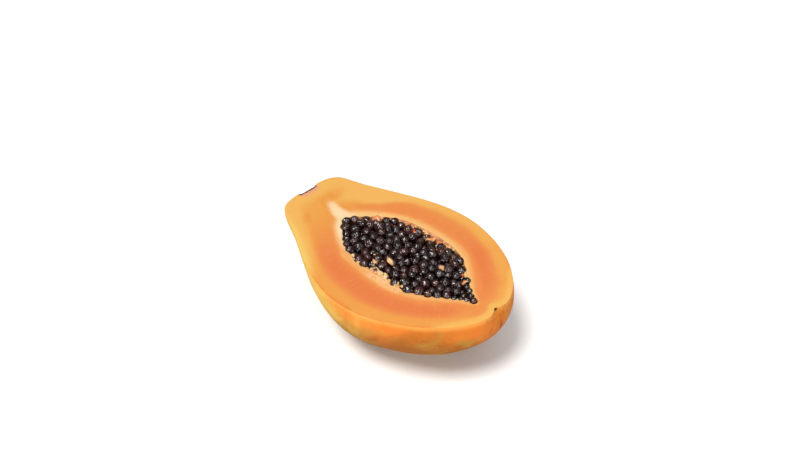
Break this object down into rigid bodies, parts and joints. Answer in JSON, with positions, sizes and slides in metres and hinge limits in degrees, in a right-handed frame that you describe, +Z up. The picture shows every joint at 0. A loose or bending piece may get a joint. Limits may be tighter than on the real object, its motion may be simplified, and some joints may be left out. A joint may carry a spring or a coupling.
{
  "type": "papaya half",
  "caption": "Ripe papaya cut lengthwise, one half lying on its skin with the cut face up: orange flesh around a pointed hollow full of dark seeds.",
  "frame": {"origin": "middle of the bounding box in plan, at the height of the spot that the half rests on", "axes": "+X from the stem end to the blossom end, +Y to the thinner side of the flesh, +Z up out of the cut face"},
  "size_m": [0.165, 0.1102, 0.0575],
  "materials": {
    "papaya_flesh": "moist orange flesh inside a thin waxy skin, golden yellow to orange",
    "papaya_seed": "wet, wrinkled, near black"
  },
  "bodies": {
    "root": {"papaya_half": "papaya_flesh", "seeds": "papaya_seed"}
  },
  "joints": []
}
